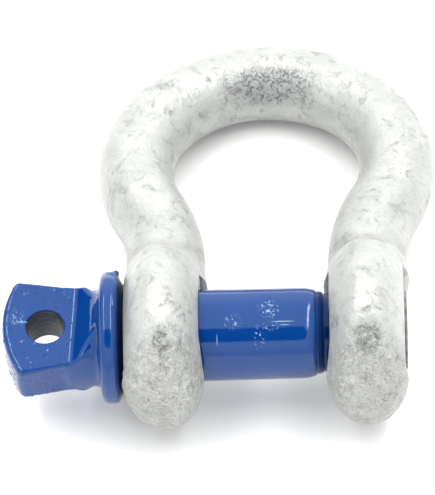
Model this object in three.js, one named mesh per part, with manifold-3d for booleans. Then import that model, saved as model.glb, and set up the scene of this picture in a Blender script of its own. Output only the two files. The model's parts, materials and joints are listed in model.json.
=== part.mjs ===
// A screw-pin bow shackle for chain and rope, of the nominal 3/4 inch size.
// It lies on its side: the rims of both ears and the crown of the bow touch the surface.
// Millimetres, +Z up. The pin runs along X with its eye at -X, and the bow points to +Y.
import * as THREE from 'three';
import { mergeVertices } from 'three/addons/utils/BufferGeometryUtils.js';
import Module from 'manifold-3d';

const wasm = await Module();
wasm.setup();

// Driving dimensions
const PIN_DIAMETER = 22.4;
const STOCK_DIAMETER = 19.0;
const JAW_WIDTH = 31.7; // between the machined inner faces of the ears
const INSIDE_LENGTH = 69.8; // from the pin to the inside of the crown
const BOW_INSIDE_WIDTH = 47.0;
const EAR_DIAMETER = 45.2;
const EAR_THICKNESS = 18.1; // between the machined faces of one ear
const THREAD_PITCH = 25.4 / 9; // nine turns to the inch

// Ears
const PIN_RADIUS = PIN_DIAMETER / 2;
const STOCK_RADIUS = STOCK_DIAMETER / 2;
const EAR_RADIUS = EAR_DIAMETER / 2;
const EAR_CENTRE = (JAW_WIDTH + EAR_THICKNESS) / 2;
const FACE_DEPTH = 1.6; // how deep the machined faces are cut into the forging
const FACE_RADIUS = 17.5;
const RIM_ROUNDING = 8.2;
const PLAIN_BORE_RADIUS = PIN_RADIUS + 0.8;

// Bow: an arc over the crown, and a reverse arc into each straight leg
const CROWN_RADIUS = BOW_INSIDE_WIDTH / 2 + STOCK_RADIUS;
const WAIST_RADIUS = 37;
const CROWN_DISTANCE = PIN_RADIUS + INSIDE_LENGTH + STOCK_RADIUS;
const BOW_OFFSET = 0.45; // the bow is forged a little off the middle of the jaw
const BOW_SECTION_SIDES = 24;
const BOW_STEPS = 56;

// Pin, with distances measured from the middle of the jaw
const SEAT_CLEARANCE = 0.3;
const OUTER_FACE = JAW_WIDTH / 2 + EAR_THICKNESS;
const SEAT = OUTER_FACE + SEAT_CLEARANCE;
const SEAT_RADIUS = 12.6;
const COLLAR_RADIUS = 16.2;
const COLLAR_THICKNESS = 4.45;
const COLLAR_RISE = 1.15; // length of the cone between the seat and the rim of the collar
const COLLAR_BACK = SEAT + COLLAR_RISE;
const COLLAR_FRONT = COLLAR_BACK + COLLAR_THICKNESS;
const COLLAR_ROUNDING = 1.3;
const NECK_RADIUS = 11.6;
const NECK_FILLET = 2;
const SHANK_END = 11.3;
const GROOVE_START = 13.4;
const GROOVE_RADIUS = 9.7;
const SPLIT_GAP = 0.1; // between the parts of the pin that turn and the part that only slides

// Eye
const EYE_THICKNESS = 12.2;
const EYE_HOLE_RADIUS = 4.6;
const EYE_HOLE_DISTANCE = 53.3;
const EYE_CORNER_DISTANCE = 60.3; // mean of the two corners of the rounded end
const EYE_TIP_DISTANCE = 64.2;
const EYE_END_SKEW = 0.055; // the end is forged a little out of square
const EYE_END_STEPS = 12;
const EYE_HALF_WIDTH = 13.5;
const EYE_ROOT_DISTANCE = 46.2;
const EYE_ROOT_HALF_WIDTH = 10.6;
const EYE_SLOPE_END = 40.5; // where the sloped run-out of the flats meets the round neck
const EYE_EDGE_ROUNDING = 0.9;
const EYE_ROLL = THREE.MathUtils.degToRad(4.5);

// Thread
const THREAD_RADIUS = 10.9;
const THREAD_ROOT_RADIUS = 9.4;
const THREAD_CREST = 0.5;
const THREAD_FLANK_SLOPE = 0.47; // axial half width gained for each unit of depth
const THREAD_CLEARANCE = 0.22;
const NUT_BORE_RADIUS = 9.8;
const NUT_ROOT_RADIUS = 11.3;
const THREAD_START = 15.6;
const THREAD_PROUD = 0.7; // how far the thread stands out of the ear
const THREAD_END = OUTER_FACE + THREAD_PROUD;
const THREAD_SIDES = 24;
const ROUND_SIDES = 40;

const GALVANISED = { color: 0xc9ccc8, roughness: 0.5, metalness: 0.6 };
const BLUE_ENAMEL = { color: 0x2f5fb0, roughness: 0.2, metalness: 0 };

// Turns a closed geometry into a manifold solid.
function toSolid(geometry) {
  const bare = geometry.clone();
  bare.deleteAttribute('normal');
  bare.deleteAttribute('uv');
  const merged = mergeVertices(bare, 1e-4);
  return new wasm.Manifold(
    new wasm.Mesh({
      numProp: 3,
      vertProperties: new Float32Array(merged.attributes.position.array),
      triVerts: new Uint32Array(merged.index.array),
    }),
  );
}

// Turns a manifold solid into a named mesh.
function toMesh(name, solid, look) {
  const { vertProperties, triVerts } = solid.getMesh();
  const geometry = new THREE.BufferGeometry();
  geometry.setAttribute('position', new THREE.BufferAttribute(new Float32Array(vertProperties), 3));
  geometry.setIndex(new THREE.BufferAttribute(new Uint32Array(triVerts), 1));
  geometry.computeVertexNormals();
  const mesh = new THREE.Mesh(geometry, new THREE.MeshStandardMaterial(look));
  mesh.name = name;
  return mesh;
}

// A solid of revolution about the X axis. The profile lists [x, radius] from low to high x.
function turned(profile, sides = ROUND_SIDES) {
  const points = profile.map(([x, radius]) => new THREE.Vector2(radius, x));
  const start = new THREE.Vector2(0, points[0].y);
  const end = new THREE.Vector2(0, points.at(-1).y);
  const geometry = new THREE.LatheGeometry([start, ...points, end], sides);
  geometry.rotateZ(-Math.PI / 2);
  return toSolid(geometry);
}

// A cylinder on the X axis.
const roundBar = (from, to, radius, sides) => turned([[from, radius], [to, radius]], sides);

// Points of a quarter circle in a profile, from one angle to another, counted from the X axis.
function profileArc(centreX, centreRadius, size, fromAngle, toAngle, steps) {
  return Array.from({ length: steps + 1 }, (_, i) => {
    const angle = fromAngle + ((toAngle - fromAngle) * i) / steps;
    return [centreX + size * Math.cos(angle), centreRadius + size * Math.sin(angle)];
  });
}

// A solid ridge that winds right-handed round the X axis. The section lists [x offset, radius].
function helicalRidge(from, to, section) {
  const steps = Math.ceil(((to - from) / THREAD_PITCH) * THREAD_SIDES);
  const corners = section.length;
  const positions = [];
  const index = [];
  for (let i = 0; i <= steps; i += 1) {
    const x = from + (i * THREAD_PITCH) / THREAD_SIDES;
    const angle = (2 * Math.PI * x) / THREAD_PITCH;
    for (const [offset, radius] of section) {
      positions.push(x + offset, radius * Math.cos(angle), radius * Math.sin(angle));
    }
  }
  for (let i = 0; i < steps; i += 1) {
    for (let k = 0; k < corners; k += 1) {
      const a = i * corners + k;
      const b = i * corners + ((k + 1) % corners);
      index.push(a, a + corners, b, b, a + corners, b + corners);
    }
  }
  const last = steps * corners;
  for (let k = 1; k < corners - 1; k += 1) {
    index.push(0, k, k + 1);
    index.push(last, last + k + 1, last + k);
  }
  const geometry = new THREE.BufferGeometry();
  geometry.setAttribute('position', new THREE.Float32BufferAttribute(positions, 3));
  geometry.setIndex(index);
  return toSolid(geometry);
}

// The trapezium of one thread ridge, wider by the clearance on both flanks.
function threadSection(baseRadius, crestRadius, clearance) {
  const halfWidth = (radius) =>
    THREAD_CREST / 2 + THREAD_FLANK_SLOPE * (THREAD_RADIUS - radius) + clearance;
  return [
    [-halfWidth(baseRadius), baseRadius],
    [-halfWidth(crestRadius), crestRadius],
    [halfWidth(crestRadius), crestRadius],
    [halfWidth(baseRadius), baseRadius],
  ];
}

// Centreline of the bow, in the plane through the pin: from ear to ear over the crown.
class BowCurve extends THREE.Curve {
  constructor() {
    super();
    this.turn = Math.acos((EAR_CENTRE + WAIST_RADIUS) / (CROWN_RADIUS + WAIST_RADIUS));
    const rise = (CROWN_RADIUS + WAIST_RADIUS) * Math.sin(this.turn);
    this.crownCentre = CROWN_DISTANCE - CROWN_RADIUS;
    this.legTop = this.crownCentre - rise;
    this.legBottom = PLAIN_BORE_RADIUS;
    this.leg = this.legTop - this.legBottom;
    this.waist = WAIST_RADIUS * this.turn;
    this.crown = CROWN_RADIUS * (this.turn + Math.PI / 2);
    this.half = this.leg + this.waist + this.crown;
  }

  // The point at a distance along the right-hand half, measured from its ear.
  halfPoint(distance) {
    if (distance < this.leg) {
      return [EAR_CENTRE, this.legBottom + distance];
    }
    if (distance < this.leg + this.waist) {
      const angle = (distance - this.leg) / WAIST_RADIUS;
      const x = EAR_CENTRE + WAIST_RADIUS * (1 - Math.cos(angle));
      return [x, this.legTop + WAIST_RADIUS * Math.sin(angle)];
    }
    const angle = (distance - this.leg - this.waist) / CROWN_RADIUS - this.turn;
    return [CROWN_RADIUS * Math.cos(angle), this.crownCentre + CROWN_RADIUS * Math.sin(angle)];
  }

  getPoint(t, target = new THREE.Vector3()) {
    const fromEnd = Math.min(t, 1 - t) * 2 * this.half;
    const [x, y] = this.halfPoint(fromEnd);
    return target.set(BOW_OFFSET + (t < 0.5 ? -x : x), y, 0);
  }
}

// The round bar of the bow.
function bowBar() {
  const section = new THREE.Shape();
  for (let i = 0; i < BOW_SECTION_SIDES; i += 1) {
    const angle = (2 * Math.PI * i) / BOW_SECTION_SIDES;
    const x = STOCK_RADIUS * Math.cos(angle);
    const y = STOCK_RADIUS * Math.sin(angle);
    if (i === 0) section.moveTo(x, y);
    else section.lineTo(x, y);
  }
  section.closePath();
  const options = { extrudePath: new BowCurve(), steps: BOW_STEPS, bevelEnabled: false };
  return toSolid(new THREE.ExtrudeGeometry(section, options));
}

// One forged ear: a thick disc with a well rounded rim.
function earDisc(centre) {
  const half = EAR_THICKNESS / 2 + FACE_DEPTH;
  const inner = EAR_RADIUS - RIM_ROUNDING;
  const low = profileArc(centre - half + RIM_ROUNDING, inner, RIM_ROUNDING, Math.PI, Math.PI / 2, 5);
  const high = profileArc(centre + half - RIM_ROUNDING, inner, RIM_ROUNDING, Math.PI / 2, 0, 5);
  return turned([...low, ...high]);
}

// The machined flats round the bore, on both sides of an ear.
function machineFaces(solid, centre) {
  const face = EAR_THICKNESS / 2;
  const reach = face + 3 * FACE_DEPTH;
  return solid
    .subtract(roundBar(centre - reach, centre - face, FACE_RADIUS))
    .subtract(roundBar(centre + face, centre + reach, FACE_RADIUS));
}

// The screwed bore of the right-hand ear.
function threadedBore() {
  const from = EAR_CENTRE - EAR_RADIUS / 2;
  const to = EAR_CENTRE + EAR_RADIUS / 2;
  const groove = threadSection(THREAD_ROOT_RADIUS, NUT_ROOT_RADIUS, THREAD_CLEARANCE);
  return roundBar(from, to, NUT_BORE_RADIUS, THREAD_SIDES).add(helicalRidge(from, to, groove));
}

function shackleBody() {
  const plainBore = roundBar(-2 * EAR_CENTRE, 0, PLAIN_BORE_RADIUS);
  const forging = bowBar().add(earDisc(-EAR_CENTRE)).add(earDisc(EAR_CENTRE));
  const faced = machineFaces(machineFaces(forging, -EAR_CENTRE), EAR_CENTRE);
  return toMesh('shackle_body', faced.subtract(plainBore).subtract(threadedBore()), GALVANISED);
}

// The collar with its conical seat, and the round neck that leads to the eye.
function collarAndNeck() {
  const rim = COLLAR_RADIUS - COLLAR_ROUNDING;
  const rimFront = profileArc(
    -(COLLAR_FRONT - COLLAR_ROUNDING), rim, COLLAR_ROUNDING, Math.PI, Math.PI / 2, 3,
  );
  const rimBack = profileArc(
    -(COLLAR_BACK + COLLAR_ROUNDING), rim, COLLAR_ROUNDING, Math.PI / 2, 0, 3,
  );
  const fillet = profileArc(
    -(COLLAR_FRONT + NECK_FILLET), NECK_RADIUS + NECK_FILLET, NECK_FILLET, -Math.PI / 2, 0, 3,
  );
  return turned([
    [-EYE_CORNER_DISTANCE, NECK_RADIUS],
    ...fillet,
    ...rimFront,
    ...rimBack,
    [-SEAT, SEAT_RADIUS],
  ]);
}

// What is cut from the top of the neck to leave the flat of the eye and its sloped run-out,
// which stops at the front of the collar.
function flatCutter() {
  const flat = EYE_THICKNESS / 2;
  const above = 2 * NECK_RADIUS;
  const slope = (NECK_RADIUS - flat) / (EYE_ROOT_DISTANCE - EYE_SLOPE_END);
  const slopeTop = flat + slope * (EYE_ROOT_DISTANCE - COLLAR_FRONT);
  const outline = new THREE.Shape();
  outline.moveTo(-EYE_TIP_DISTANCE, flat);
  outline.lineTo(-EYE_ROOT_DISTANCE, flat);
  outline.lineTo(-COLLAR_FRONT, slopeTop);
  outline.lineTo(-COLLAR_FRONT, above);
  outline.lineTo(-EYE_TIP_DISTANCE, above);
  outline.closePath();
  const geometry = new THREE.ExtrudeGeometry(outline, { depth: 2 * above, bevelEnabled: false });
  geometry.translate(0, 0, -above);
  geometry.rotateX(Math.PI / 2);
  return toSolid(geometry);
}

// The flat plate of the eye, which widens to a gently rounded end.
function eyePlate() {
  const edge = EYE_EDGE_ROUNDING;
  const half = EYE_HALF_WIDTH - edge;
  const bulge = EYE_TIP_DISTANCE - EYE_CORNER_DISTANCE;
  const outline = new THREE.Shape();
  outline.moveTo(-EYE_ROOT_DISTANCE, EYE_ROOT_HALF_WIDTH - edge);
  for (let i = 0; i <= EYE_END_STEPS; i += 1) {
    const across = 1 - (2 * i) / EYE_END_STEPS;
    const x = -EYE_TIP_DISTANCE + edge + bulge * across * across;
    outline.lineTo(x - EYE_END_SKEW * half * across, half * across);
  }
  outline.lineTo(-EYE_ROOT_DISTANCE, -EYE_ROOT_HALF_WIDTH + edge);
  outline.closePath();
  const depth = EYE_THICKNESS - 2 * edge;
  const options = { depth, bevelThickness: edge, bevelSize: edge, bevelSegments: 3 };
  const geometry = new THREE.ExtrudeGeometry(outline, options);
  geometry.translate(0, 0, -depth / 2);
  return toSolid(geometry);
}

function eyeHole() {
  const geometry = new THREE.CylinderGeometry(
    EYE_HOLE_RADIUS, EYE_HOLE_RADIUS, 2 * EYE_THICKNESS, ROUND_SIDES,
  );
  geometry.rotateX(Math.PI / 2);
  geometry.translate(-EYE_HOLE_DISTANCE, 0, 0);
  return toSolid(geometry);
}

function pinHead() {
  const cutter = flatCutter();
  const solid = collarAndNeck()
    .subtract(cutter)
    .subtract(cutter.rotate([180, 0, 0]))
    .subtract(roundBar(-2 * EYE_TIP_DISTANCE, -(EYE_ROOT_DISTANCE + NECK_FILLET), COLLAR_RADIUS))
    .add(eyePlate())
    .subtract(eyeHole());
  return toMesh('pin_head', solid, BLUE_ENAMEL);
}

// The smooth shank, which ends in a chamfer down to the thread's run-out groove.
function pinShank() {
  const solid = turned([
    [-SEAT + SPLIT_GAP, PIN_RADIUS],
    [SHANK_END, PIN_RADIUS],
    [GROOVE_START, GROOVE_RADIUS],
    [THREAD_START - SPLIT_GAP, GROOVE_RADIUS],
  ]);
  return toMesh('pin_shank', solid, BLUE_ENAMEL);
}

// The screw thread, with a run-out cone at the groove and a chamfer at the tip.
function pinThread() {
  const depth = NUT_ROOT_RADIUS - THREAD_ROOT_RADIUS;
  const envelope = turned([
    [THREAD_START, THREAD_ROOT_RADIUS],
    [THREAD_START + depth, NUT_ROOT_RADIUS],
    [THREAD_END - depth, NUT_ROOT_RADIUS],
    [THREAD_END, THREAD_ROOT_RADIUS],
  ], THREAD_SIDES);
  const core = roundBar(THREAD_START, THREAD_END, THREAD_ROOT_RADIUS, THREAD_SIDES);
  const section = threadSection(THREAD_ROOT_RADIUS - 0.4, THREAD_RADIUS, 0);
  const ridge = helicalRidge(THREAD_START - THREAD_PITCH, THREAD_END + THREAD_PITCH, section);
  return toMesh('pin_thread', core.add(ridge).intersect(envelope), BLUE_ENAMEL);
}

// The bow leans down from the pin until its crown meets the surface that the ears stand on.
const forging = new THREE.Group();
forging.add(shackleBody());
forging.rotation.x = -Math.asin((EAR_RADIUS - STOCK_RADIUS) / CROWN_DISTANCE);

const pin = new THREE.Group();
pin.add(pinHead(), pinShank(), pinThread());
pin.rotation.x = EYE_ROLL;

const shackle = new THREE.Group();
shackle.add(forging, pin);
shackle.updateMatrixWorld(true);

// The origin is on the surface, under the middle of the shackle.
const box = new THREE.Box3().setFromObject(shackle, true);
const middle = box.getCenter(new THREE.Vector3());
shackle.position.set(-middle.x, -middle.y, -box.min.z);

export default shackle;
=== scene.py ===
"""A hot-dip galvanised bow shackle with a blue enamelled screw pin, on a pale studio floor.

Each piece is modelled in millimetres in a frame of its own, whose origin is on the pin's axis in
the middle of the jaw: X runs along the pin from its eye to its thread, Y towards the crown of the
bow, and Z is square to both. The soft forged shapes are distance fields, and the turned ones are
lathed.
"""
import json
import math
import bmesh
import bpy
import numpy as np
from mathutils import Matrix, Vector, noise


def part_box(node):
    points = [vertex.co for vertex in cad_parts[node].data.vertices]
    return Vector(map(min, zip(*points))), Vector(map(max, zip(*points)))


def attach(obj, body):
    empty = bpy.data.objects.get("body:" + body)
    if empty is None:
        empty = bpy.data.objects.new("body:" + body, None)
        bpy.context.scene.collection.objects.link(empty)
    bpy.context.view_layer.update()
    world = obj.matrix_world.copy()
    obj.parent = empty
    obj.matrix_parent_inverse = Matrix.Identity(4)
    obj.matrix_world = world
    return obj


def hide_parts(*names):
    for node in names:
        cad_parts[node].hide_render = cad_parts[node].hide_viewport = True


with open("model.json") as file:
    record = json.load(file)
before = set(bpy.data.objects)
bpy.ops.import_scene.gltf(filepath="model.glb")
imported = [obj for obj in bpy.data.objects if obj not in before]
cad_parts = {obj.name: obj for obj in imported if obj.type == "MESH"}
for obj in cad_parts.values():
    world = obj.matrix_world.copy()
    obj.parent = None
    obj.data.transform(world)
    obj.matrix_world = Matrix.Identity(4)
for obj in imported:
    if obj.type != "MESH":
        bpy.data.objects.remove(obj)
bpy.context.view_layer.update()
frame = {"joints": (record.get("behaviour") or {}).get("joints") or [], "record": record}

MM = 0.001

# without a seed, noise_vector gives other values on every run
NOISE_SEED = 7
noise.seed_set(NOISE_SEED)


# ---------------------------------------------------------------- sizes taken from the frame

def mount(name):
    """The place of a mount, in millimetres, and its axis."""
    found = next(m for m in frame["record"]["mounts"] if m["name"] == name)
    return Vector(found["pos_m"]) / MM, Vector(found["axis"])


def size_of(node):
    """The lengths of a node's box, in millimetres."""
    low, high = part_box(node)
    return (high - low) / MM


PIN_CENTRE = Vector(next(j for j in frame["joints"] if j["name"] == "pin_turn")["pos_m"]) / MM
JAW_FACE = mount("jaw_face_threaded_ear")[0]
EYE_NORMAL = mount("eye_upper_face")[1]
LEAN = math.atan2(JAW_FACE.z - PIN_CENTRE.z, JAW_FACE.y - PIN_CENTRE.y)
EYE_ROLL = -math.atan2(EYE_NORMAL.y, EYE_NORMAL.z)

THREAD_PROUD = 0.7  # how far the thread stands out of the ear
JAW_HALF = JAW_FACE.x - PIN_CENTRE.x
THREAD_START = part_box("pin_thread")[0].x / MM - PIN_CENTRE.x
THREAD_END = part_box("pin_thread")[1].x / MM - PIN_CENTRE.x
OUTER_FACE = THREAD_END - THREAD_PROUD
EAR_RADIUS = size_of("shackle_body").z / 2
PIN_RADIUS = size_of("pin_shank").y / 2
COLLAR_RADIUS = size_of("pin_head").z / 2
EYE_TIP = PIN_CENTRE.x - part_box("pin_head")[0].x / MM


# ---------------------------------------------------------------- the forging's own sizes, mm

STOCK_RADIUS = 9.5
INSIDE_LENGTH = 69.8
CROWN_RADIUS = 33.0  # of the bar's centreline, as the next one
WAIST_RADIUS = 37.0
BOW_OFFSET = 0.45  # the bow is a little off the middle of the jaw
LEG_SWELL = 0.35  # the bar is thicker where it meets the ears
SWELL_RANGE = (14, 40)  # the swell fades out between these distances from the pin
EAR_CENTRE = (JAW_HALF + OUTER_FACE) / 2
EAR_HALF = 11.2  # half the thickness of an ear in the parting plane, as forged
EAR_DRAFT = 0.12
EAR_CREASE = 1.5  # rounds off the crease of the field in the middle plane of an ear
RIM_REACH = 8.0  # the rounding of a rim is an ellipse: this far across
RIM_DEPTH = 14.0  # and this far towards the bore
EAR_FILLET = 2.4
DROSS_START = -11.0  # the zinc is wrinkled on the side of the ears away from the bow
DROSS_BLEND = 7.0
INNER_FACE_RADIUS = 14.8
OUTER_FACE_RADIUS = 16.4
PLAIN_BORE = PIN_RADIUS + 0.8
CROWN_CENTRE = PIN_RADIUS + INSIDE_LENGTH + STOCK_RADIUS - CROWN_RADIUS
TURN = math.acos((EAR_CENTRE + WAIST_RADIUS) / (CROWN_RADIUS + WAIST_RADIUS))
LEG_TOP = CROWN_CENTRE - (CROWN_RADIUS + WAIST_RADIUS) * math.sin(TURN)

# the pin's own sizes, mm, counted from the middle of the jaw

SEAT = OUTER_FACE + 0.3
SEAT_RADIUS = 12.6
COLLAR_BACK = OUTER_FACE + 1.45
COLLAR_FRONT = COLLAR_BACK + 4.45
COLLAR_ROUNDING = 1.7
SEAT_OVERLAP = 0.5  # how far the seat reaches into the collar
SEAT_FILLET = 0.6
NECK_RADIUS = 11.6
NECK_FILLET = 2.6
EYE_HALF_THICKNESS = 6.1
EYE_HOLE = 53.3
EYE_HOLE_RADIUS = 4.6
EYE_CORNER = EYE_TIP - 3.9
EYE_END_HALF_WIDTH = 13.6
EYE_ROOT = 46.2
EYE_ROOT_HALF_WIDTH = 10.7
EYE_SLOPE_END = 40.1
EYE_SKEW = 0.055  # the end and the ridge at the root are a little out of square
EYE_CHAMFER = 1.3  # of the long edges, at the end; it runs out to nothing at the root
EYE_END_ROUNDING = 1.3
EYE_END_CROWN = 0.5  # how far the end bulges between its upper and lower edges
NECK_END = EYE_ROOT + 1.6  # where the round neck gives way to the flared plate
PLATE_STEP = 1.5  # how far the plate stands above the flats before it is trimmed
PAINT_RUN = (-COLLAR_BACK - 0.4, 12.6, 9.6)  # the drop where a run of paint ends
PAINT_RUN_RADIUS = 0.5
SHANK_TAPER = 0.08
SHANK_RINGS = 30
SHOULDER = 9.0
SHOULDER_END = 12.3
SHOULDER_DROP = 0.62
SHOULDER_RINGS = 8
GROOVE_START = 14.5
GROOVE_RADIUS = 9.7
# the rings scored at both ends of the cone: offset along the pin, and offset of the radius
SHOULDER_SCORE = [(0.35, -0.42), (0.7, -0.30)]
GROOVE_SCORE = [(-0.5, 0.15), (-0.2, -0.2), (0.1, 0)]

# the thread, mm

THREAD_PITCH = 25.4 / 9
THREAD_RADIUS = 10.9
THREAD_ROOT = 9.4
THREAD_CREST = 0.5
THREAD_SLOPE = 0.47
THREAD_GAP = 0.02  # between the shank's end and the separate thread
RIDGE_ROOT = THREAD_ROOT - 0.4  # the ridge starts inside the core
NUT_BORE = 9.8
NUT_MOUTH = 1.5
NUT_ROOT = 11.3
NUT_CLEARANCE = 0.22

LATHE_SIDES = 144
HOLE_SIDES = 96
HELIX_SIDES = 64
FORGING_GRID = 0.42
HEAD_GRID = 0.3


# ---------------------------------------------------------------- distance fields

def smooth_min(a, b, width):
    """The lower of two fields, blended where they are closer than width."""
    near = np.maximum(width - np.abs(a - b), 0) / width
    return np.minimum(a, b) - near * near * width / 4


def smooth_max(a, b, width):
    return -smooth_min(-a, -b, width)


def ease(value, low, high):
    """0 below low, 1 above high, and a smooth step between."""
    t = np.clip((value - low) / (high - low), 0, 1)
    return t * t * (3 - 2 * t)


def from_arc(x, y, centre, radius, first, last):
    """Distance from an arc that runs counter-clockwise between two angles."""
    dx, dy = x - centre[0], y - centre[1]
    middle, half = (first + last) / 2, (last - first) / 2
    angle = (np.arctan2(dy, dx) - middle + math.pi) % (2 * math.pi) - math.pi
    held = np.clip(angle, -half, half) + middle
    return np.hypot(dx - radius * np.cos(held), dy - radius * np.sin(held))


def bow_field(x, y, z):
    """The bar of the bow: two legs, two waists and the crown."""
    side = np.abs(x - BOW_OFFSET)
    leg = np.hypot(side - EAR_CENTRE, y - np.clip(y, 0, LEG_TOP))
    waist_centre = (EAR_CENTRE + WAIST_RADIUS, LEG_TOP)
    waist = from_arc(side, y, waist_centre, WAIST_RADIUS, math.pi - TURN, math.pi)
    crown = from_arc(side, y, (0, CROWN_CENTRE), CROWN_RADIUS, -TURN, math.pi / 2)
    line = np.minimum(leg, np.minimum(waist, crown))
    swell = LEG_SWELL * (1 - ease(y, *SWELL_RANGE))
    return np.hypot(line, z) - STOCK_RADIUS - swell


def ear_field(x, y, z):
    """Both ears: thick discs with draft on their sides and elliptical rims."""
    along = np.hypot(np.abs(x) - EAR_CENTRE, EAR_CREASE) + EAR_DRAFT * np.abs(z)
    out_along = along - (EAR_HALF - RIM_REACH)
    out_round = (np.hypot(y, z) - (EAR_RADIUS - RIM_DEPTH)) * RIM_REACH / RIM_DEPTH
    outside = np.hypot(np.maximum(out_along, 0), np.maximum(out_round, 0))
    return outside + np.minimum(np.maximum(out_along, out_round), 0) - RIM_REACH


def forging_field(x, y, z):
    return smooth_min(bow_field(x, y, z), ear_field(x, y, z), EAR_FILLET)


def collar_field(x, radius):
    """The collar, and the conical seat behind it."""
    half = (COLLAR_FRONT - COLLAR_BACK) / 2
    out_along = np.abs(x + (COLLAR_FRONT + COLLAR_BACK) / 2) - half + COLLAR_ROUNDING
    out_round = radius - COLLAR_RADIUS + COLLAR_ROUNDING
    outside = np.hypot(np.maximum(out_along, 0), np.maximum(out_round, 0))
    collar = outside + np.minimum(np.maximum(out_along, out_round), 0) - COLLAR_ROUNDING
    spread = (COLLAR_RADIUS - COLLAR_ROUNDING - SEAT_RADIUS) / (COLLAR_BACK - SEAT)
    cone = (radius - SEAT_RADIUS + spread * (x + SEAT)) / math.hypot(1, spread)
    seat = np.maximum(np.maximum(cone, x + SEAT), -(x + COLLAR_BACK + SEAT_OVERLAP))
    return collar, seat


def eye_field(x, y, z):
    """The flat eye and the round neck, whose top and bottom are sloped down to the flats."""
    radius = np.hypot(y, z)
    away = np.abs(z)
    aside = np.abs(y)
    # above and below: the flats, and past a skewed ridge the slopes
    steep = (NECK_RADIUS - EYE_HALF_THICKNESS) / (EYE_ROOT - EYE_SLOPE_END)
    flat = away - EYE_HALF_THICKNESS
    slope = (flat - steep * (x + EYE_ROOT - EYE_SKEW * y)) / math.hypot(1, steep)
    above = smooth_min(flat, slope, 0.7)
    # at the sides: the neck's cylinder, which sweeps out into the flared plate
    flare = (EYE_END_HALF_WIDTH - EYE_ROOT_HALF_WIDTH) / (EYE_CORNER - EYE_ROOT)
    width = EYE_ROOT_HALF_WIDTH - flare * (x + EYE_ROOT)
    plate = (aside - width) / math.hypot(1, flare)
    neck = smooth_max(radius - NECK_RADIUS, -(x + NECK_END), 2.0)
    plate = smooth_max(plate, flat - PLATE_STEP, 1.0)
    plate = smooth_max(plate, x + EYE_ROOT - 3, 2.0)
    beside = smooth_min(neck, plate, 2.4)
    body = smooth_max(above, beside, 0.8)
    # the chamfer of the long edges
    depth = EYE_CHAMFER * (-x - EYE_ROOT) / (EYE_CORNER - EYE_ROOT) - 0.3
    chamfer = (away - EYE_HALF_THICKNESS + aside - width + depth) * math.sqrt(0.5)
    body = np.where(x < -EYE_ROOT, smooth_max(body, chamfer, 0.5), body)
    # the bulged end
    across = y / EYE_END_HALF_WIDTH
    crown = EYE_END_CROWN * (z / EYE_HALF_THICKNESS) ** 2
    bulge = (EYE_TIP - EYE_CORNER) * across ** 2 + crown
    end = -(x + EYE_TIP + EYE_SKEW * y - bulge) / math.hypot(1, 0.5)
    return smooth_max(body, end, EYE_END_ROUNDING)


def head_field(x, y, z):
    """The eye, the neck and the collar of the pin, with a run of paint on the collar's back."""
    collar, seat = collar_field(x, np.hypot(y, z))
    head = smooth_min(eye_field(x, y, z), collar, NECK_FILLET)
    head = smooth_min(head, seat, SEAT_FILLET)
    away = [value - centre for value, centre in zip((x, y, z), PAINT_RUN)]
    run = np.sqrt(away[0] ** 2 + away[1] ** 2 + away[2] ** 2) - PAINT_RUN_RADIUS
    head = smooth_min(head, run, 1.0)
    return np.maximum(head, x + SEAT)


# ---------------------------------------------------------------- meshes from fields

def surface_net(field, low, high, step):
    """Vertices and quads of the surface where a field is zero, one vertex to a grid cell."""
    axes = [np.arange(a - 2 * step, b + 3 * step, step) for a, b in zip(low, high)]
    flat = np.meshgrid(axes[1], axes[2], indexing="ij")
    values = np.stack([field(np.full_like(flat[0], x), *flat) for x in axes[0]])
    inside = values < 0
    cells = tuple(n - 1 for n in values.shape)
    total = np.zeros(cells + (3,))
    count = np.zeros(cells, int)
    corners = [(i, j, k) for i in (0, 1) for j in (0, 1) for k in (0, 1)]
    for first in corners:
        for axis in range(3):
            if first[axis]:
                continue
            second = tuple(1 if n == axis else first[n] for n in range(3))
            a, b = (
                values[tuple(slice(c, c + n) for c, n in zip(corner, cells))]
                for corner in (first, second)
            )
            crossed = (a < 0) != (b < 0)
            part = a[crossed] / (a[crossed] - b[crossed])
            place = np.tile(np.array(first, float), (len(part), 1))
            place[:, axis] = part
            total[crossed] += place
            count[crossed] += 1
    active = count > 0
    spots = np.argwhere(active)
    origin = np.array([a[0] for a in axes])
    points = origin + step * (spots + total[active] / count[active][:, None])
    number = np.full(cells, -1)
    number[active] = np.arange(len(spots))
    quads = []
    unit = np.eye(3, dtype=int)
    for axis in range(3):
        change = np.diff(inside.astype(np.int8), axis=axis)
        edge = np.argwhere(change != 0)
        b, c = unit[(axis + 1) % 3], unit[(axis + 2) % 3]
        around = [edge - b - c, edge - c, edge, edge - b]
        quad = np.stack([number[tuple(cell.T)] for cell in around], 1)
        entering = change[tuple(edge.T)] > 0
        quad[entering] = quad[entering][:, ::-1]
        quads.append(quad)
    return points, np.concatenate(quads)


def gradient(field, points, reach=0.02):
    """The slope of a field at some points, which is square to its surface."""
    x, y, z = points.T
    return np.stack([
        field(x + reach, y, z) - field(x - reach, y, z),
        field(x, y + reach, z) - field(x, y - reach, z),
        field(x, y, z + reach) - field(x, y, z - reach),
    ], 1) / (2 * reach)


def settle(field, points, quads, rounds, pull=0.6):
    """Evens the spacing of a net's vertices and moves them onto the surface.

    Each round pulls every vertex towards the mean of its neighbours. Two more rounds only move
    the vertices onto the surface.
    """
    ends = np.concatenate([quads[:, [n, (n + 1) % 4]] for n in range(4)])
    number = np.bincount(ends[:, 0], minlength=len(points))
    for turn in range(rounds + 2):
        if turn < rounds:
            mean = [np.bincount(ends[:, 0], points[ends[:, 1], n], len(points)) for n in range(3)]
            points = (1 - pull) * points + pull * np.stack(mean, 1) / number[:, None]
        slope = gradient(field, points)
        size = np.maximum((slope ** 2).sum(1), 0.25)
        points = points - slope * (field(*points.T) / size)[:, None]
    return points


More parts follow.
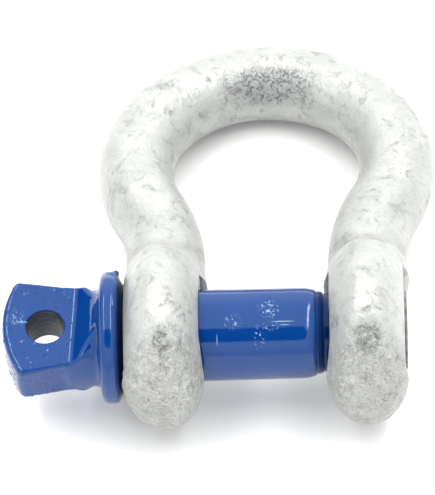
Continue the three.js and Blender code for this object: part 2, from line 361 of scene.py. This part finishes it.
def new_object(name, vertices, faces):
    """An object whose mesh is given in millimetres."""
    mesh = bpy.data.meshes.new(name)
    mesh.from_pydata((np.asarray(vertices) * MM).tolist(), [], [list(map(int, f)) for f in faces])
    mesh.update()
    piece = bpy.data.objects.new(name, mesh)
    bpy.context.scene.collection.objects.link(piece)
    return piece


def forged(name, field, low, high, step, relief):
    """A piece whose surface is a field's, moved outwards by relief(point)."""
    points, quads = surface_net(field, low, high, step)
    points = settle(field, points, quads, 4)
    normals = gradient(field, points)
    normals /= np.linalg.norm(normals, axis=1)[:, None]
    rise = np.array([relief(Vector(point)) for point in points])
    return new_object(name, points + normals * rise[:, None], quads)


# ---------------------------------------------------------------- turned and threaded meshes

def turned(name, profile, sides=LATHE_SIDES):
    """A solid of revolution about X. The profile lists (x, radius) from low to high x."""
    rings = len(profile)
    vertices = []
    for x, radius in profile:
        for n in range(sides):
            angle = 2 * math.pi * n / sides
            vertices.append((x, radius * math.cos(angle), radius * math.sin(angle)))
    faces = []
    for ring in range(rings - 1):
        for n in range(sides):
            a, b = ring * sides + n, ring * sides + (n + 1) % sides
            faces.append((a, a + sides, b + sides, b))
    faces.append(tuple(range(sides)))
    faces.append(tuple(reversed(range((rings - 1) * sides, rings * sides))))
    return outward(new_object(name, vertices, faces))


def helix(name, low, high, section):
    """A closed ridge that winds right-handed round X. The section lists (x offset, radius)."""
    steps = math.ceil((high - low) / THREAD_PITCH * HELIX_SIDES)
    corners = len(section)
    vertices = []
    for n in range(steps + 1):
        x = low + n * THREAD_PITCH / HELIX_SIDES
        angle = 2 * math.pi * x / THREAD_PITCH
        for offset, radius in section:
            vertices.append((x + offset, radius * math.cos(angle), radius * math.sin(angle)))
    faces = []
    for n in range(steps):
        for k in range(corners):
            a, b = n * corners + k, n * corners + (k + 1) % corners
            faces.append((a, a + corners, b + corners, b))
    faces.append(tuple(range(corners)))
    faces.append(tuple(reversed(range(steps * corners, (steps + 1) * corners))))
    return outward(new_object(name, vertices, faces))


def thread_section(base, crest, clearance):
    """The trapezium of one thread ridge, wider by the clearance on both flanks."""
    def half(radius):
        return THREAD_CREST / 2 + THREAD_SLOPE * (THREAD_RADIUS - radius) + clearance

    return [(-half(base), base), (-half(crest), crest), (half(crest), crest), (half(base), base)]


def outward(piece):
    """Turns all faces of a closed mesh to the outside."""
    grid = bmesh.new()
    grid.from_mesh(piece.data)
    bmesh.ops.recalc_face_normals(grid, faces=grid.faces)
    grid.to_mesh(piece.data)
    grid.free()
    return piece


def combine(piece, tool, operation):
    """Joins, cuts or intersects a piece with a tool, which is used up."""
    step = piece.modifiers.new("boolean", "BOOLEAN")
    step.object = tool
    step.operation = operation
    step.solver = "MANIFOLD"
    held = bpy.context.evaluated_depsgraph_get()
    mesh = bpy.data.meshes.new_from_object(piece.evaluated_get(held))
    piece.modifiers.clear()
    spent = piece.data
    piece.data = mesh
    mesh.name = piece.name
    bpy.data.meshes.remove(spent)
    bpy.data.objects.remove(tool)
    return piece


def finish_piece(piece, place, material, body, nodes, sharp=32):
    """Shades a piece, puts its mesh in its place, hangs it on its body and hides the nodes it stands
    for.
    """
    mesh = piece.data
    mesh.materials.clear()
    mesh.materials.append(material)
    mesh.shade_smooth()
    mesh.set_sharp_from_angle(angle=math.radians(sharp))
    mesh.transform(place)
    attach(piece, body)
    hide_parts(*nodes)
    return piece


# ---------------------------------------------------------------- the shackle body

def forging_relief(point):
    """Long waves of the forging, lumps of the zinc, and its dross on the ears, far from the bow."""
    wave = noise.noise(point / 17.0) * 0.22
    wave += noise.noise(point / 7.0 + Vector((9, 2, 5))) * 0.10
    lumps = noise.noise(point / 2.6 + Vector((3, 7, 1)))
    fine = noise.noise(point / 1.1 + Vector((5, 1, 8)))
    dross = min(max((DROSS_START - point.y) / DROSS_BLEND, 0.0), 1.0)
    warp = noise.noise_vector(point / 2.4) * 0.9
    wrinkle = 1 - 2.2 * abs(noise.noise(point / 1.7 + warp))
    return wave + 0.035 * lumps + 0.02 * fine + dross * (0.13 * wrinkle + 0.05 * fine)


def face_cutter(name, face, way, radius):
    """Clears the machined flat of an ear; its outer edge is softened."""
    profile = [(face, radius), (face + 0.5 * way, radius)]
    profile += [(face + 0.8 * way, radius + 0.15), (face + 3.0 * way, radius + 1.6)]
    if way < 0:
        profile.reverse()
    return turned(name, profile)


def bore_cutter(name, low, high, radius, mouths, edge=0.6):
    """A bore whose mouths, at the given places, have a small chamfer."""
    profile = [(low, radius), (high, radius)]
    for mouth in mouths:
        profile += [(mouth - edge, radius), (mouth, radius + edge), (mouth + edge, radius)]
    return turned(name, sorted(profile))


def shackle_body():
    """The forging, with the machined flats, the plain bore and the threaded bore cut in it."""
    reach = CROWN_RADIUS + STOCK_RADIUS
    low = (-reach, -EAR_RADIUS, -EAR_RADIUS)
    high = (reach, CROWN_CENTRE + reach, EAR_RADIUS)
    piece = forged("galvanised_bow", forging_field, low, high, FORGING_GRID, forging_relief)
    for side in (-1, 1):
        outer = face_cutter("face", side * OUTER_FACE, side, OUTER_FACE_RADIUS)
        combine(piece, outer, "DIFFERENCE")
        inner = face_cutter("face", side * JAW_HALF, -side, INNER_FACE_RADIUS)
        combine(piece, inner, "DIFFERENCE")
    plain = bore_cutter("bore", -OUTER_FACE - 4, -JAW_HALF + 4, PLAIN_BORE, (-OUTER_FACE, -JAW_HALF))
    combine(piece, plain, "DIFFERENCE")
    mouths = (JAW_HALF, OUTER_FACE)
    nut = bore_cutter("bore", JAW_HALF - 4, OUTER_FACE + 4, NUT_BORE, mouths, NUT_MOUTH)
    groove = thread_section(THREAD_ROOT, NUT_ROOT, NUT_CLEARANCE)
    ridge = helix("groove", JAW_HALF - 2 * THREAD_PITCH, OUTER_FACE + 2 * THREAD_PITCH, groove)
    combine(piece, combine(nut, ridge, "UNION"), "DIFFERENCE")
    return piece


# ---------------------------------------------------------------- the pin

def enamel_relief(point):
    """The soft unevenness of thick paint over forged steel, with a few beads on the eye."""
    wave = noise.noise(point / 9.0) * 0.10
    wave += noise.noise(point / 2.2 + Vector((4, 4, 2))) * 0.02
    bead = noise.noise(point / 0.9 + Vector((8, 2, 6))) - 0.36
    on_eye = min(max(-point.x - EYE_ROOT, 0.0), 1.0)
    return wave + on_eye * max(bead, 0.0) * 0.5


def hole_cutter():
    """The hole of the eye, with a rounded mouth on both faces."""
    half = EYE_HALF_THICKNESS
    # height above the middle of the eye, and how much wider than the hole
    mouth = [(half - 0.7, 0), (half - 0.2, 0.12), (half + 0.1, 0.45), (half + 2.0, 3.0)]
    upper = [(height, EYE_HOLE_RADIUS + wider) for height, wider in mouth]
    lower = [(-height, radius) for height, radius in reversed(upper)]
    tool = turned("hole", lower + upper, HOLE_SIDES)
    tool.data.transform(Matrix.Rotation(math.radians(-90), 4, "Y"))
    tool.data.transform(Matrix.Translation((-EYE_HOLE * MM, 0, 0)))
    return tool


def shank():
    """The smooth shank, with its rounded shoulder, and the cone down to the groove."""
    start = -COLLAR_BACK
    profile = []
    for n in range(SHANK_RINGS + 1):
        x = start + (SHOULDER - start) * n / SHANK_RINGS
        profile.append((x, PIN_RADIUS + SHANK_TAPER * (1 - 2 * n / SHANK_RINGS)))
    edge = PIN_RADIUS - SHANK_TAPER
    length = SHOULDER_END - SHOULDER
    for n in range(1, SHOULDER_RINGS + 1):
        part = n / SHOULDER_RINGS
        profile.append((SHOULDER + length * part, edge - SHOULDER_DROP * part ** 2))
    # the cone lies between two scored rings
    profile += [(SHOULDER_END + x, edge - SHOULDER_DROP + rise) for x, rise in SHOULDER_SCORE]
    profile += [(GROOVE_START + x, GROOVE_RADIUS + rise) for x, rise in GROOVE_SCORE]
    profile.append((THREAD_START, GROOVE_RADIUS))
    return turned("shank", profile)


def screw_pin():
    """The pin without its thread: head, seat, shank and groove in one."""
    low = (-EYE_TIP, -COLLAR_RADIUS, -COLLAR_RADIUS)
    high = (-SEAT, COLLAR_RADIUS, COLLAR_RADIUS)
    piece = forged("screw_pin", head_field, low, high, HEAD_GRID, enamel_relief)
    combine(piece, hole_cutter(), "DIFFERENCE")
    return combine(piece, shank(), "UNION")


def pin_thread():
    """The thread: a ridge wound round a core, and chamfered at both ends."""
    depth = NUT_ROOT - THREAD_ROOT
    low, high = THREAD_START + THREAD_GAP, THREAD_END
    envelope = turned("envelope", [
        (low, THREAD_ROOT), (low + depth, NUT_ROOT), (high - depth, NUT_ROOT), (high, THREAD_ROOT),
    ])
    core = turned("screw_thread", [(low, THREAD_ROOT), (high, THREAD_ROOT)], HELIX_SIDES)
    section = thread_section(RIDGE_ROOT, THREAD_RADIUS, 0)
    ridge = helix("ridge", low - THREAD_PITCH, high + THREAD_PITCH, section)
    return combine(combine(core, ridge, "UNION"), envelope, "INTERSECT")


# ---------------------------------------------------------------- materials

class Graph:
    """A short way to write a node tree."""

    def __init__(self, tree):
        self.tree = tree

    def new(self, kind):
        return self.tree.nodes.new("ShaderNode" + kind)

    def link(self, output, target):
        self.tree.links.new(output, target)

    def put(self, value, target):
        """Links an output to a socket, or sets the socket's own value."""
        if isinstance(value, bpy.types.NodeSocket):
            self.link(value, target)
        else:
            target.default_value = value

    def math(self, operation, a, b=0.0):
        node = self.new("Math")
        node.operation = operation
        self.put(a, node.inputs[0])
        self.put(b, node.inputs[1])
        return node.outputs[0]

    def vector(self, operation, a, b=(0, 0, 0)):
        node = self.new("VectorMath")
        node.operation = operation
        for value, target in zip((a, b), node.inputs):
            self.put(value, target)
        return node.outputs["Value" if operation in ("DOT_PRODUCT", "LENGTH") else "Vector"]

    def split(self, vector):
        node = self.new("SeparateXYZ")
        self.link(vector, node.inputs[0])
        return node.outputs

    def ramp(self, value, low, high, start=0.0, end=1.0):
        """A smooth step from start to end as the value goes from low to high."""
        node = self.new("MapRange")
        node.interpolation_type = "SMOOTHSTEP"
        self.put(value, node.inputs["Value"])
        node.inputs["From Min"].default_value = low
        node.inputs["From Max"].default_value = high
        node.inputs["To Min"].default_value = start
        node.inputs["To Max"].default_value = end
        return node.outputs["Result"]


class Nodes(Graph):
    """A material's node tree, in millimetres of a piece's own frame, which is tilted about X."""

    def __init__(self, name, tilt=0.0):
        self.material = bpy.data.materials.new(name)
        self.material.use_nodes = True
        super().__init__(self.material.node_tree)
        self.tree.nodes.clear()
        self.shader = self.new("BsdfPrincipled")
        self.link(self.shader.outputs[0], self.new("OutputMaterial").inputs[0])
        own = self.new("Mapping")
        own.vector_type = "TEXTURE"
        self.link(self.new("TexCoord").outputs["Object"], own.inputs["Vector"])
        own.inputs["Location"].default_value = PIN_CENTRE * MM
        own.inputs["Rotation"].default_value = (tilt, 0, 0)
        own.inputs["Scale"].default_value = (MM, MM, MM)
        self.place = own.outputs[0]

    def moved(self, offset):
        """The place, moved, so that two noises of one size differ."""
        return self.vector("ADD", self.place, offset)

    def stretched(self, factors):
        return self.vector("MULTIPLY", self.place, factors)

    def noise(self, size, detail=3.0, rough=0.55, where=None, warp=0.0):
        """Noise whose features are about size millimetres."""
        node = self.new("TexNoise")
        self.link(where or self.place, node.inputs["Vector"])
        node.inputs["Scale"].default_value = 1 / size
        node.inputs["Detail"].default_value = detail
        node.inputs["Roughness"].default_value = rough
        node.inputs["Distortion"].default_value = warp
        return node.outputs["Fac"]

    def wrinkles(self, size, width, warp=1.0):
        """Thin winding ridges, 1 on their crests, about size millimetres apart."""
        value = self.noise(size, 2, 0.5, self.moved((17, 5, 9)), warp)
        off_crest = self.math("ABSOLUTE", self.math("SUBTRACT", value, 0.5))
        return self.ramp(off_crest, 0.0, width, 1.0, 0.0)

    def cracks(self, size, width, warp):
        """Thin lines between flakes of about size millimetres, 1 in the lines."""
        bend = self.new("TexNoise")
        self.link(self.place, bend.inputs["Vector"])
        bend.inputs["Scale"].default_value = 1 / size
        push = self.vector("MULTIPLY", bend.outputs["Color"], (warp, warp, warp))
        flakes = self.new("TexVoronoi")
        flakes.feature = "DISTANCE_TO_EDGE"
        flakes.inputs["Scale"].default_value = 1 / size
        self.link(self.vector("ADD", self.place, push), flakes.inputs["Vector"])
        return self.ramp(flakes.outputs["Distance"], 0.0, width, 1.0, 0.0)

    def near(self, centre, reach):
        """1 at a place, and 0 outside the ellipsoid round it whose half axes are given."""
        away = self.vector("SUBTRACT", self.place, centre)
        share = self.vector("LENGTH", self.vector("DIVIDE", away, reach))
        return self.ramp(share, 0.45, 1.0, 1.0, 0.0)

    def both(self, *masks):
        result = masks[0]
        for mask in masks[1:]:
            result = self.math("MULTIPLY", result, mask)
        return result

    def either(self, *masks):
        result = masks[0]
        for mask in masks[1:]:
            result = self.math("MAXIMUM", result, mask)
        return result

    def mix(self, factor, a, b):
        """A mix of two colours."""
        node = self.new("Mix")
        node.data_type = "RGBA"
        self.put(factor, node.inputs[0])
        for value, target in ((a, node.inputs[6]), (b, node.inputs[7])):
            self.put(value if isinstance(value, bpy.types.NodeSocket) else (*value, 1), target)
        return node.outputs[2]

    def bump(self, height, depth, normal=None):
        """A bump whose height runs from 0 to 1 over depth millimetres."""
        node = self.new("Bump")
        node.inputs["Distance"].default_value = depth * MM
        self.link(height, node.inputs["Height"])
        if normal is not None:
            self.link(normal, node.inputs["Normal"])
        return node.outputs["Normal"]

    def set(self, **values):
        for name, value in values.items():
            self.put(value, self.shader.inputs[name.replace("_", " ")])


ZINC_PALE = (0.465, 0.475, 0.46)
ZINC_DULL = (0.41, 0.42, 0.405)
ZINC_SMUDGED = (0.30, 0.31, 0.295)
# dirt and painted shade in the crease between each ear's rim and its leg
ZINC_DIRT_AND_SHADE = (0.27, 0.27, 0.24)
# painted dark reflections on the crown and on the ears
ZINC_REFLECTED_DARK = (0.20, 0.215, 0.22)
ZINC_PITTED = (0.12, 0.12, 0.12)
ZINC_GRAINED = (0.22, 0.23, 0.22)
ZINC_RIDGED = (0.47, 0.48, 0.46)
ZINC_CRACKED = (0.16, 0.16, 0.15)
# painted dark reflections on the crown and on the ears, where pits also gather: centre and half axes,
# mm, in the forging's own frame
ZINC_DARK_REFLECTIONS = [
    ((1.5, 83.2, 5.8), (17.0, 5.5, 7.0)),
    ((24.9, -16.5, 15.3), (4.2, 5.5, 5.5)),
    ((-24.4, -16.5, 15.3), (3.0, 4.0, 4.0)),
]


def galvanised_steel():
    """Dull zinc: pale and mottled, with painted dark reflections and painted shade in places, wrinkled
    with dross far from the bow.
    """
    n = Nodes("galvanised_steel", LEAN)
    y = n.split(n.place)["Y"]
    cloud = n.noise(11.0, 4, 0.6, warp=0.6)
    smudge = n.noise(4.0, 5, 0.68, n.moved((40, 7, 3)), 0.8)
    grain = n.noise(0.55, 3, 0.65)
    speck = n.noise(1.5, 6, 0.78, n.moved((3, 31, 7)), 1.3)
    tone = n.mix(n.ramp(cloud, 0.35, 0.65), ZINC_PALE, ZINC_DULL)
    tone = n.mix(n.ramp(smudge, 0.48, 0.70, 0.0, 0.8), tone, ZINC_SMUDGED)
    # dirt and painted shade in the crease between the rim of each ear and its leg
    off_axis = n.vector("LENGTH", n.stretched((0, 1, 1)))
    groove = n.both(n.ramp(off_axis, 22.0, 23.4), n.ramp(off_axis, 24.4, 28.0, 1.0, 0.0))
    dirt_and_shade = n.both(groove, n.ramp(y, 2.0, 9.0, 0.0, 0.35))
    tone = n.mix(dirt_and_shade, tone, ZINC_DIRT_AND_SHADE)
    # painted dark reflections on the crown and the ears, and the pits and specks that gather in them
    # and in the smudges
    dark_reflections = n.either(*[n.near(*reflection) for reflection in ZINC_DARK_REFLECTIONS])
    dross = n.ramp(y, DROSS_START - DROSS_BLEND, DROSS_START, 1.0, 0.0)
    tone = n.mix(n.math("MULTIPLY", dark_reflections, 0.45), tone, ZINC_REFLECTED_DARK)
    crowd = n.either(dark_reflections, n.ramp(smudge, 0.50, 0.70, 0.0, 0.65), n.math("MULTIPLY", dross, 0.3))
    pits = n.both(n.ramp(speck, 0.51, 0.57), crowd)
    tone = n.mix(n.math("MULTIPLY", pits, 0.8), tone, ZINC_PITTED)
    tone = n.mix(n.ramp(grain, 0.54, 0.68, 0.0, 0.36), tone, ZINC_GRAINED)
    # the wrinkled dross: pale along its ridges, dark in the cracks between its flakes
    ridges = n.wrinkles(1.9, 0.10, 1.4)
    clean_ridges = n.both(dross, ridges, n.ramp(speck, 0.6, 0.4, 0.0, 0.7))
    tone = n.mix(clean_ridges, tone, ZINC_RIDGED)
    patches = n.ramp(n.noise(2.6, 3, 0.6, n.moved((6, 1, 22))), 0.49, 0.62)
    cracks = n.both(n.cracks(1.7, 0.09, 3.0), patches)
    cracked = n.both(cracks, n.either(dross, n.ramp(cloud, 0.55, 0.7, 0.0, 0.5)))
    tone = n.mix(n.math("MULTIPLY", cracked, 0.7), tone, ZINC_CRACKED)
    rough = n.ramp(n.noise(2.2, 4, 0.6), 0.3, 0.7, 0.30, 0.46)
    fine = n.bump(n.math("SUBTRACT", grain, pits), 0.10)
    lumps = n.bump(n.noise(1.7, 4, 0.6, warp=0.5), 0.32, fine)
    wrinkled = n.bump(n.both(dross, ridges), 0.22, lumps)
    n.set(Base_Color=tone, Metallic=0.3, Roughness=rough, Normal=wrinkled)
    return n.material


ENAMEL_DEEP = (0.0012, 0.030, 0.158)
ENAMEL_BRIGHT = (0.0018, 0.036, 0.185)
ENAMEL_TINT = (0.74, 0.9, 1.0, 1)  # of its reflections
PRIMER = (0.30, 0.42, 0.52)
HOLE_STEEL = (0.034, 0.031, 0.038)
# painted shade in the gap behind the collar and in the groove before the thread
GAP_SHADE = (0.0005, 0.006, 0.03)
GLOSS = 0.52  # the strength of the paint's reflections
SHADE_DULLS = 0.38  # how much gloss the painted shade takes off it
# where the paint is chipped or scratched: centre and half axes, mm, in the pin's own frame
PAINT_CHIPS = [
    ((1.2, 0.4, 11.2), (3.4, 3.4, 2.5)),
    ((-7.4, -3.0, 10.8), (2.6, 2.6, 2.5)),
    ((-1.2, -6.6, 9.1), (1.7, 3.6, 3.6)),
    ((1.6, -4.2, 10.4), (2.4, 1.6, 2.0)),
    ((-60.2, 2.6, 6.1), (2.4, 3.2, 2.0)),
]
PAINT_SCRATCHES = [
    ((4.6, -3.1, 10.8), (3.6, 0.20, 1.2)),
    ((5.0, -3.9, 10.5), (1.6, 0.16, 1.2)),
    ((-11.4, -6.9, 8.9), (0.16, 1.9, 1.9)),
    ((-58.6, 1.4, 6.1), (2.8, 0.22, 1.0)),
]


def blue_enamel():
    """Thick glossy blue paint, chipped and dusted in places, with a bare wall in the eye's hole and
    painted shade behind the collar and before the thread.
    """
    n = Nodes("blue_enamel", EYE_ROLL)
    x = n.split(n.place)["X"]
    blue = n.mix(n.noise(6.0, 3), ENAMEL_DEEP, ENAMEL_BRIGHT)
    # chips show the grey primer through the paint
    dots = n.ramp(n.noise(0.6, 3, 0.7, warp=0.4), 0.56, 0.64)
    chips = n.both(dots, n.either(*[n.near(*chip) for chip in PAINT_CHIPS]))
    grains = n.ramp(n.noise(0.5, 3, 0.7, n.moved((2, 9, 4))), 0.70, 0.76)
    dust = n.both(grains, n.ramp(n.noise(6.0, 2), 0.5, 0.62))
    scratches = n.either(*[n.near(*scratch) for scratch in PAINT_SCRATCHES])
    worn = n.either(chips, n.math("MULTIPLY", dust, 0.6), n.math("MULTIPLY", scratches, 0.7))
    colour = n.mix(n.math("MULTIPLY", worn, 0.75), blue, PRIMER)
    # the wall of the hole is bare steel
    across_hole = n.vector("MULTIPLY", n.moved((EYE_HOLE, 0, 0)), (1, 1, 0))
    from_axis = n.vector("LENGTH", across_hole)
    bare = n.math("LESS_THAN", from_axis, EYE_HOLE_RADIUS + 0.06)
    colour = n.mix(bare, colour, HOLE_STEEL)
    # painted shade: darker, duller paint in the gap behind the collar and in the groove before the
    # thread
    behind = n.ramp(x, -COLLAR_BACK - 0.3, -COLLAR_BACK + 0.2)
    gap = n.both(behind, n.math("GREATER_THAN", -SEAT + 0.5, x))
    gap_shade_mask = n.either(gap, n.ramp(x, SHOULDER_END, SHOULDER_END + 0.6, 0.0, 0.7))
    colour = n.mix(gap_shade_mask, colour, GAP_SHADE)
    rough = n.ramp(n.noise(1.4, 3), 0.3, 0.7, 0.04, 0.09)
    bared = n.either(n.math("MULTIPLY", worn, 0.5), n.math("MULTIPLY", bare, 0.42))
    peel = n.bump(n.noise(2.0, 2, 0.5), 0.03)
    on_eye = n.ramp(x, -EYE_ROOT - 1, -EYE_ROOT, 1.0, 0.0)
    specks = n.both(n.ramp(n.noise(0.8, 2, 0.5, n.moved((8, 2, 6))), 0.60, 0.76), on_eye)
    beads = n.bump(specks, 0.22, peel)
    tool_marks = n.both(n.noise(0.5, 1, 0.5, n.stretched((0.05, 0.05, 1))), bare)
    marked = n.bump(tool_marks, 0.3, beads)
    gloss = n.math("SUBTRACT", GLOSS, n.math("MULTIPLY", gap_shade_mask, SHADE_DULLS))
    n.set(Base_Color=colour, Roughness=n.either(rough, bared), Normal=marked)
    n.set(Specular_IOR_Level=gloss, Specular_Tint=ENAMEL_TINT)
    return n.material


def bare_thread():
    """Cut steel, dark with oil, with fine tool marks round the axis."""
    n = Nodes("bare_thread", EYE_ROLL)
    tone = n.mix(n.ramp(n.noise(2.0, 4), 0.35, 0.7), (0.13, 0.125, 0.12), (0.26, 0.25, 0.24))
    rings = n.noise(0.3, 2, 0.5, n.stretched((1, 0.02, 0.02)))
    n.set(Base_Color=tone, Metallic=0.9, Normal=n.bump(rings, 0.03))
    n.set(Roughness=n.ramp(n.noise(1.5, 3), 0.3, 0.7, 0.3, 0.48))
    return n.material


# ---------------------------------------------------------------- the studio

CAMERA_DISTANCE = 1.1
CAMERA_PITCH = math.radians(52.91)
CAMERA_YAW = math.radians(-3.17)
CAMERA_ROLL = math.radians(-4.03)
CAMERA_LENS = 319.9
AIM = Vector((-11.95, 33.23, 14.0))  # from the point of the floor below the pin's centre, mm

# brightness of the tent, of the strip in it, and of two narrow lights beside the strip
TENT = 1.25
TENT_STRIP = 1.7
SIDE_LIGHTS = 12.0
# how far from the middle plane the strip ends, and where the side lights are
STRIP_EDGES = (0.26, 0.52)
SIDE_LIGHT_PLACE = 0.33
SIDE_LIGHT_EDGES = (0.03, 0.06)
# the middle and the fading ends of the side lights, along the tent
SIDE_LIGHT_MIDDLE = 0.15
SIDE_LIGHT_ENDS = (0.4, 0.6)
# the unlit openings: azimuth and elevation, the radii of the core and of the edge, in degrees
UNLIT = [((-90, 53), 15, 19), ((148, 9), 13, 18)]
LAMP_POWER = 10
LAMP_SIZE = 2.4
LAMP_PLACE = (0.0, 0.3, 1.5)


def camera():
    """The camera of the photo, aimed at a point that is fixed to the pin."""
    floor_point = Vector((PIN_CENTRE.x, PIN_CENTRE.y, 0))
    target = (floor_point + AIM) * MM
    flat = math.cos(CAMERA_PITCH)
    ahead = Vector((math.sin(CAMERA_YAW) * flat, math.cos(CAMERA_YAW) * flat, -math.sin(CAMERA_PITCH)))
    right = ahead.cross(Vector((0, 0, 1))).normalized()
    up = right.cross(ahead)
    tilt = Matrix.Rotation(CAMERA_ROLL, 3, -ahead)
    axes = Matrix((tilt @ right, tilt @ up, -ahead)).transposed()
    data = bpy.data.cameras.new("camera")
    data.lens = CAMERA_LENS
    data.clip_end = 10
    holder = bpy.data.objects.new("camera", data)
    holder.matrix_world = Matrix.Translation(target - ahead * CAMERA_DISTANCE) @ axes.to_4x4()
    bpy.context.scene.collection.objects.link(holder)
    bpy.context.scene.camera = holder


def floor():
    """A large round sheet of pale card."""
    radius, sides = 2.5, 96
    grid = bmesh.new()
    bmesh.ops.create_circle(grid, cap_ends=True, radius=radius, segments=sides)
    mesh = bpy.data.meshes.new("floor")
    grid.to_mesh(mesh)
    grid.free()
    card = Nodes("pale_card")
    card.set(Base_Color=(0.9, 0.9, 0.9, 1), Roughness=0.8)
    mesh.materials.append(card.material)
    sheet = bpy.data.objects.new("floor", mesh)
    bpy.context.scene.collection.objects.link(sheet)


def overhead_lamp():
    """A wide lamp that brightens the floor; it is too plain to be worth reflecting."""
    data = bpy.data.lights.new("overhead", "AREA")
    data.size = LAMP_SIZE
    data.energy = LAMP_POWER
    lamp = bpy.data.objects.new("overhead", data)
    lamp.location = LAMP_PLACE
    lamp.rotation_euler = (-lamp.location).to_track_quat("-Z", "Y").to_euler()
    lamp.visible_glossy = False
    bpy.context.scene.collection.objects.link(lamp)


def bearing(azimuth, elevation):
    """A direction, from degrees counted from +X towards +Y, and degrees above the horizon."""
    turn, rise = math.radians(azimuth), math.radians(elevation)
    return (math.cos(turn) * math.cos(rise), math.sin(turn) * math.cos(rise), math.sin(rise))


def studio_walls():
    """A white tent with a bright strip and two narrow lights overhead, and two unlit openings."""
    world = bpy.data.worlds.new("studio")
    bpy.context.scene.world = world
    world.use_nodes = True
    n = Graph(world.node_tree)
    background = world.node_tree.nodes["Background"]
    way = n.new("TexCoord").outputs["Generated"]
    x, y, z = n.split(way)
    strip = n.ramp(n.math("ABSOLUTE", x), *STRIP_EDGES, TENT_STRIP, TENT)
    low = n.ramp(z, 0.0, 0.4, TENT, TENT_STRIP)
    light = n.math("MINIMUM", strip, low)
    # two narrow lights beside the strip, over the pin
    aside = n.math("SUBTRACT", n.math("ABSOLUTE", x), SIDE_LIGHT_PLACE)
    row = n.ramp(n.math("ABSOLUTE", aside), *SIDE_LIGHT_EDGES, 1.0, 0.0)
    along = n.math("SUBTRACT", y, SIDE_LIGHT_MIDDLE)
    length = n.ramp(n.math("ABSOLUTE", along), *SIDE_LIGHT_ENDS, SIDE_LIGHTS, 0.0)
    overhead = n.math("MULTIPLY", length, n.math("GREATER_THAN", z, 0))
    light = n.math("ADD", light, n.math("MULTIPLY", row, overhead))
    for direction, core, edge in UNLIT:
        facing = n.vector("DOT_PRODUCT", way, bearing(*direction))
        rim, middle = (math.cos(math.radians(angle)) for angle in (edge, core))
        light = n.math("MULTIPLY", light, n.ramp(facing, rim, middle, 1.0, 0.0))
    n.link(light, background.inputs["Strength"])
    background.inputs["Color"].default_value = (1.0, 1.0, 0.99, 1)


camera()
floor()
studio_walls()
overhead_lamp()
bpy.context.scene.view_settings.view_transform = "Standard"

origin = Matrix.Translation(PIN_CENTRE * MM)
forging_place = origin @ Matrix.Rotation(LEAN, 4, "X")
pin_place = origin @ Matrix.Rotation(EYE_ROLL, 4, "X")

zinc, paint, steel = galvanised_steel(), blue_enamel(), bare_thread()
finish_piece(shackle_body(), forging_place, zinc, "forging", ["shackle_body"])
finish_piece(screw_pin(), pin_place, paint, "pin_turning", ["pin_head", "pin_shank"])
finish_piece(pin_thread(), pin_place, steel, "pin_turning", ["pin_thread"])
